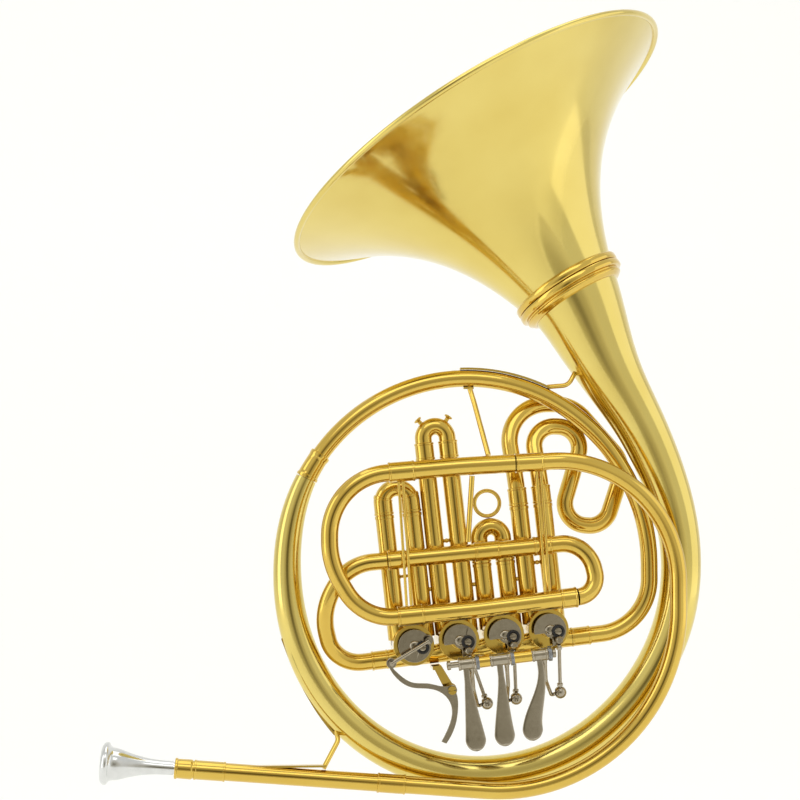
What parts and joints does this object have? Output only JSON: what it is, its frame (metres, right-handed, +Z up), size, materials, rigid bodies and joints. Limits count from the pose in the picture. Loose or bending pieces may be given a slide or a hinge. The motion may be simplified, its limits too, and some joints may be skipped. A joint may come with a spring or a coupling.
{
  "type": "french horn",
  "caption": "Rotary-valve horn: coiled conical tubing with a wide flared bell, a screw ring, finger levers, a thumb lever, tuning slides and a cup mouthpiece.",
  "frame": {"origin": "centre of the round hoop of tubing, in the middle plane of that tube; the horn is held there, through the hoop, by the left hand", "axes": "+Z up with the bell up, +X to the right as the valve levers face the viewer, +Y away from the side that carries the levers"},
  "size_m": [0.4336, 0.313, 0.5642],
  "materials": {
    "lacquered_brass": "clear lacquer over polished brass",
    "nickel_plate": "polished nickel plate",
    "silver_plate": "polished silver plate",
    "bare_brass": "lapped bare brass",
    "spring_steel": "drawn wire"
  },
  "bodies": {
    "body": {"back_caps": "lacquered_brass", "bearing_plates": "lacquered_brass", "bell_brace": "lacquered_brass", "bell_ring_lower": "lacquered_brass", "bell_tail": "lacquered_brass", "first_valve_crook": "lacquered_brass", "front_rods": "lacquered_brass", "hinge_posts": "lacquered_brass", "hinge_rod": "nickel_plate", "hoop_brace": "lacquered_brass", "hoop_ferrule": "lacquered_brass", "hoop_tube": "lacquered_brass", "lead_pipe": "lacquered_brass", "lead_pipe_brace": "lacquered_brass", "leg_braces": "lacquered_brass", "lever_springs": "spring_steel", "lower_run": "lacquered_brass", "middle_run": "lacquered_brass", "mouthpiece_receiver": "lacquered_brass", "right_bow": "lacquered_brass", "run_brace": "lacquered_brass", "thumb_bracket": "lacquered_brass", "top_run": "lacquered_brass", "tube_ferrules": "lacquered_brass", "valve_casing_a": "lacquered_brass", "valve_casing_b": "lacquered_brass", "valve_casing_c": "lacquered_brass", "valve_casing_d": "lacquered_brass", "valve_legs_a": "lacquered_brass", "valve_legs_b": "lacquered_brass", "valve_legs_c": "lacquered_brass", "valve_legs_d": "lacquered_brass"},
    "bell": {"bell_flare": "lacquered_brass", "bell_ring_upper": "lacquered_brass"},
    "mouthpiece": {"mouthpiece": "silver_plate"},
    "tuning_slide": {"tuning_slide": "lacquered_brass"},
    "slide_a": {"slide_a": "lacquered_brass"},
    "slide_b": {"slide_b": "lacquered_brass", "pull_knobs": "lacquered_brass"},
    "slide_c": {"slide_c": "lacquered_brass", "pull_ring": "lacquered_brass"},
    "slide_d": {"slide_d": "lacquered_brass"},
    "thumb_lever": {"thumb_lever": "nickel_plate"},
    "thumb_link": {"thumb_link": "nickel_plate"},
    "rotor_a": {"rotor_a": "bare_brass", "stop_disc_a": "nickel_plate"},
    "rotor_b": {"rotor_b": "bare_brass", "stop_disc_b": "nickel_plate"},
    "rotor_c": {"rotor_c": "bare_brass", "stop_disc_c": "nickel_plate"},
    "rotor_d": {"rotor_d": "bare_brass", "stop_disc_d": "nickel_plate"},
    "finger_lever_1": {"finger_lever_1": "nickel_plate"},
    "finger_link_1": {"finger_link_1": "nickel_plate"},
    "finger_lever_2": {"finger_lever_2": "nickel_plate"},
    "finger_link_2": {"finger_link_2": "nickel_plate"},
    "finger_lever_3": {"finger_lever_3": "nickel_plate"},
    "finger_link_3": {"finger_link_3": "nickel_plate"}
  },
  "joints": [
    {"name": "bell_unscrew", "type": "slide", "parent": "body", "child": "bell", "axis": [-0.4966, 0.1771, 0.8497], "range_m": [0, 0.03]},
    {"name": "mouthpiece_pull", "type": "slide", "parent": "body", "child": "mouthpiece", "axis": [-0.9965, 0.0173, 0.0813], "range_m": [0, 0.03]},
    {"name": "tuning_slide_pull", "type": "slide", "parent": "body", "child": "tuning_slide", "axis": [-0.9962, 0, -0.0872], "range_m": [0, 0.04]},
    {"name": "slide_a_pull", "type": "slide", "parent": "body", "child": "slide_a", "axis": [-0.1097, 0, 0.994], "range_m": [0, 0.02]},
    {"name": "slide_b_pull", "type": "slide", "parent": "body", "child": "slide_b", "axis": [-0.1097, 0, 0.994], "range_m": [0, 0.012]},
    {"name": "slide_c_pull", "type": "slide", "parent": "body", "child": "slide_c", "axis": [-0.1097, 0, 0.994], "range_m": [0, 0.02]},
    {"name": "slide_d_pull", "type": "slide", "parent": "body", "child": "slide_d", "axis": [-0.1097, 0, 0.994], "range_m": [0, 0.004]},
    {"name": "finger_lever_1_press", "type": "hinge", "parent": "body", "child": "finger_lever_1", "pos_m": [0.00764, -0.044, -0.06918], "axis": [0.994, 0, 0.1097], "range_deg": [0, 18], "stiffness_Nm_per_rad": 0.08, "springref_deg": -51.57},
    {"name": "rotor_b_turn", "type": "hinge", "parent": "body", "child": "rotor_b", "pos_m": [-0.00882, 0, -0.05681], "axis": [0, -1, 0], "range_deg": [0, 90]},
    {"name": "finger_link_1_swing", "type": "hinge", "parent": "finger_lever_1", "child": "finger_link_1", "pos_m": [0.01126, -0.015, -0.10198], "axis": [0.994, 0, 0.1097], "range_deg": [-6.07, 0]},
    {"name": "finger_lever_2_press", "type": "hinge", "parent": "body", "child": "finger_lever_2", "pos_m": [0.00764, -0.044, -0.06918], "axis": [0.994, 0, 0.1097], "range_deg": [0, 18], "stiffness_Nm_per_rad": 0.08, "springref_deg": -51.57},
    {"name": "rotor_c_turn", "type": "hinge", "parent": "body", "child": "rotor_c", "pos_m": [0.02348, 0, -0.05324], "axis": [0, -1, 0], "range_deg": [0, 90]},
    {"name": "finger_link_2_swing", "type": "hinge", "parent": "finger_lever_2", "child": "finger_link_2", "pos_m": [0.03224, -0.015, -0.09886], "axis": [0.994, 0, 0.1097], "range_deg": [-6.19, 0]},
    {"name": "finger_lever_3_press", "type": "hinge", "parent": "body", "child": "finger_lever_3", "pos_m": [0.00764, -0.044, -0.06918], "axis": [0.994, 0, 0.1097], "range_deg": [0, 18], "stiffness_Nm_per_rad": 0.08, "springref_deg": -51.57},
    {"name": "rotor_d_turn", "type": "hinge", "parent": "body", "child": "rotor_d", "pos_m": [0.05579, 0, -0.04968], "axis": [0, -1, 0], "range_deg": [0, 90]},
    {"name": "finger_link_3_swing", "type": "hinge", "parent": "finger_lever_3", "child": "finger_link_3", "pos_m": [0.06418, -0.015, -0.09473], "axis": [0.994, 0, 0.1097], "range_deg": [-6.28, 0]},
    {"name": "thumb_lever_press", "type": "hinge", "parent": "body", "child": "thumb_lever", "pos_m": [-0.0153, -0.0265, -0.09103], "axis": [0, -1, 0], "range_deg": [0, 9], "stiffness_Nm_per_rad": 0.06, "springref_deg": -34.38},
    {"name": "rotor_a_turn", "type": "hinge", "parent": "body", "child": "rotor_a", "pos_m": [-0.04112, 0, -0.06038], "axis": [0, -1, 0], "range_deg": [0, 90]},
    {"name": "thumb_link_swing", "type": "hinge", "parent": "thumb_lever", "child": "thumb_link", "pos_m": [-0.05817, -0.03, -0.07182], "axis": [0, -1, 0], "range_deg": [0, 22]}
  ],
  "couplings": [
    {"joint": "rotor_b_turn", "follows": "finger_lever_1_press", "ratio": 5},
    {"joint": "finger_link_1_swing", "follows": "finger_lever_1_press", "ratio": -0.30914},
    {"joint": "rotor_c_turn", "follows": "finger_lever_2_press", "ratio": 5},
    {"joint": "finger_link_2_swing", "follows": "finger_lever_2_press", "ratio": -0.31589},
    {"joint": "rotor_d_turn", "follows": "finger_lever_3_press", "ratio": 5},
    {"joint": "finger_link_3_swing", "follows": "finger_lever_3_press", "ratio": -0.32115},
    {"joint": "rotor_a_turn", "follows": "thumb_lever_press", "ratio": 10},
    {"joint": "thumb_link_swing", "follows": "thumb_lever_press", "ratio": 2.389}
  ]
}
